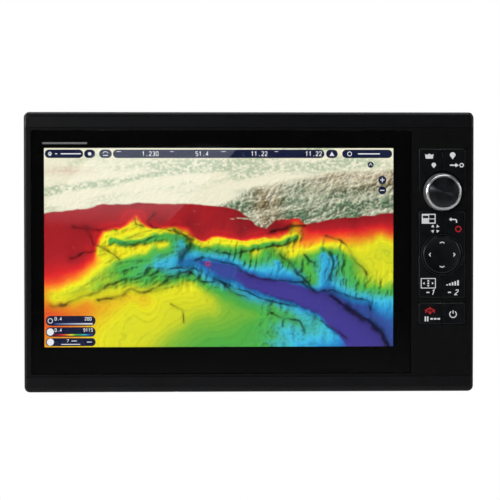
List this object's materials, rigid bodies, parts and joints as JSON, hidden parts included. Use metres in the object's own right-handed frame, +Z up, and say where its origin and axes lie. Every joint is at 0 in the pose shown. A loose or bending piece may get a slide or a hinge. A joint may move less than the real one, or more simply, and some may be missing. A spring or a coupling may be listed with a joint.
{
  "type": "chartplotter display",
  "caption": "Console-mounted chartplotter display: a wide touch screen in a black bezel with a knob, cursor pad and key column, and a finned rear case.",
  "frame": {"origin": "middle of the console panel's front surface, which the flange's gasket bears on", "axes": "+X to the right seen from the front, +Y back through the console, +Z up; the screen faces -Y"},
  "size_m": [0.3776, 0.0868, 0.235],
  "materials": {
    "housing_plastic": "fine matt texture",
    "trim_plastic": "satin moulded",
    "gasket_foam": "closed-cell foam",
    "cover_glass": "clear gloss with a black printed border",
    "tape": "black adhesive foam",
    "screen": "backlit colour display",
    "diffuser": "white diffuser",
    "bare_aluminium": "bare pressed sheet",
    "shield_steel": "tinned",
    "key_rubber": "soft-touch matt",
    "silicone": "silicone",
    "inner_plastic": "moulded",
    "satin_chrome": "satin chrome plating",
    "spun_black": "circular brushed, black anodised",
    "steel": "stainless",
    "brass": "plated",
    "cast_case": "black powder coat on a casting",
    "sink_black": "black anodised",
    "connector_plastic": "glass-filled, moulded",
    "circuit_board": "green solder mask with components",
    "antenna_ceramic": "ceramic patch",
    "cable_film": "amber polyimide"
  },
  "bodies": {
    "housing": {"front_frame": "housing_plastic", "top_trim": "trim_plastic", "bottom_trim": "trim_plastic", "console_gasket": "gasket_foam", "cover_glass": "cover_glass", "glass_tape": "tape", "lcd_panel": "screen", "lcd_backlight": "diffuser", "lcd_chassis": "bare_aluminium", "key_mat": "silicone", "key_board": "circuit_board", "cursor_collar": "inner_plastic", "encoder_body": "inner_plastic", "encoder_nut": "brass", "rear_case": "cast_case", "case_seal": "silicone", "case_screw_1": "steel", "case_screw_2": "steel", "case_screw_3": "steel", "case_screw_4": "steel", "case_screw_5": "steel", "case_screw_6": "steel", "card_reader": "inner_plastic", "card_door_pin": "steel", "heat_sink": "sink_black", "power_connector": "connector_plastic", "databus_connector": "connector_plastic", "network_connector_1": "connector_plastic", "network_connector_2": "connector_plastic", "video_output_port": "connector_plastic", "service_port": "connector_plastic", "accessory_connector": "connector_plastic", "transducer_connector": "connector_plastic", "earth_stud": "brass", "earth_nut": "steel", "breather_vent": "connector_plastic", "main_board": "circuit_board", "heat_spreader": "bare_aluminium", "transceiver_board": "circuit_board", "shield_can": "shield_steel", "power_board": "circuit_board", "position_antenna": "antenna_ceramic", "screen_ribbon": "cable_film", "key_ribbon": "cable_film"},
    "knob_rotor": {"encoder_rotor": "steel"},
    "knob": {"knob_body": "satin_chrome", "knob_insert": "spun_black", "encoder_shaft": "steel"},
    "cursor_gimbal": {"cursor_pivot": "inner_plastic"},
    "cursor": {"cursor_pad": "key_rubber"},
    "card_flap": {"card_door": "connector_plastic", "card_door_seal": "silicone"},
    "event_button": {"key_event": "key_rubber"},
    "goto_button": {"key_goto": "key_rubber"},
    "home_button": {"key_home": "key_rubber"},
    "back_button": {"key_back": "key_rubber"},
    "function_1_button": {"key_function_1": "key_rubber"},
    "function_2_button": {"key_function_2": "key_rubber"},
    "autopilot_button": {"key_autopilot": "key_rubber"},
    "power_button": {"key_power": "key_rubber"}
  },
  "joints": [
    {"name": "knob_turn", "type": "hinge", "parent": "housing", "child": "knob_rotor", "pos_m": [0.162, -0.02, 0.0504], "axis": [0, 1, 0], "continuous": true},
    {"name": "knob_push", "type": "slide", "parent": "knob_rotor", "child": "knob", "axis": [0, 1, 0], "range_m": [0, 0.0008], "stiffness_N_per_m": 800, "springref_m": -0.001},
    {"name": "cursor_up_down", "type": "hinge", "parent": "housing", "child": "cursor_gimbal", "pos_m": [0.162, -0.0086, -0.0022], "axis": [1, 0, 0], "range_deg": [-3.5, 3.5], "stiffness_Nm_per_rad": 0.3},
    {"name": "cursor_left_right", "type": "hinge", "parent": "cursor_gimbal", "child": "cursor", "pos_m": [0.162, -0.0086, -0.0022], "axis": [0, 0, 1], "range_deg": [-3.5, 3.5], "stiffness_Nm_per_rad": 0.3},
    {"name": "card_door_hinge", "type": "hinge", "parent": "housing", "child": "card_flap", "pos_m": [0.148, 0.0328, -0.0916], "axis": [-1, 0, 0], "range_deg": [0, 100]},
    {"name": "event_press", "type": "slide", "parent": "housing", "child": "event_button", "axis": [0, 1, 0], "range_m": [0, 0.001], "stiffness_N_per_m": 400, "springref_m": -0.001},
    {"name": "goto_press", "type": "slide", "parent": "housing", "child": "goto_button", "axis": [0, 1, 0], "range_m": [0, 0.001], "stiffness_N_per_m": 400, "springref_m": -0.001},
    {"name": "home_press", "type": "slide", "parent": "housing", "child": "home_button", "axis": [0, 1, 0], "range_m": [0, 0.001], "stiffness_N_per_m": 400, "springref_m": -0.001},
    {"name": "back_press", "type": "slide", "parent": "housing", "child": "back_button", "axis": [0, 1, 0], "range_m": [0, 0.001], "stiffness_N_per_m": 400, "springref_m": -0.001},
    {"name": "function_1_press", "type": "slide", "parent": "housing", "child": "function_1_button", "axis": [0, 1, 0], "range_m": [0, 0.001], "stiffness_N_per_m": 400, "springref_m": -0.001},
    {"name": "function_2_press", "type": "slide", "parent": "housing", "child": "function_2_button", "axis": [0, 1, 0], "range_m": [0, 0.001], "stiffness_N_per_m": 400, "springref_m": -0.001},
    {"name": "autopilot_press", "type": "slide", "parent": "housing", "child": "autopilot_button", "axis": [0, 1, 0], "range_m": [0, 0.001], "stiffness_N_per_m": 400, "springref_m": -0.001},
    {"name": "power_press", "type": "slide", "parent": "housing", "child": "power_button", "axis": [0, 1, 0], "range_m": [0, 0.001], "stiffness_N_per_m": 400, "springref_m": -0.001}
  ]
}
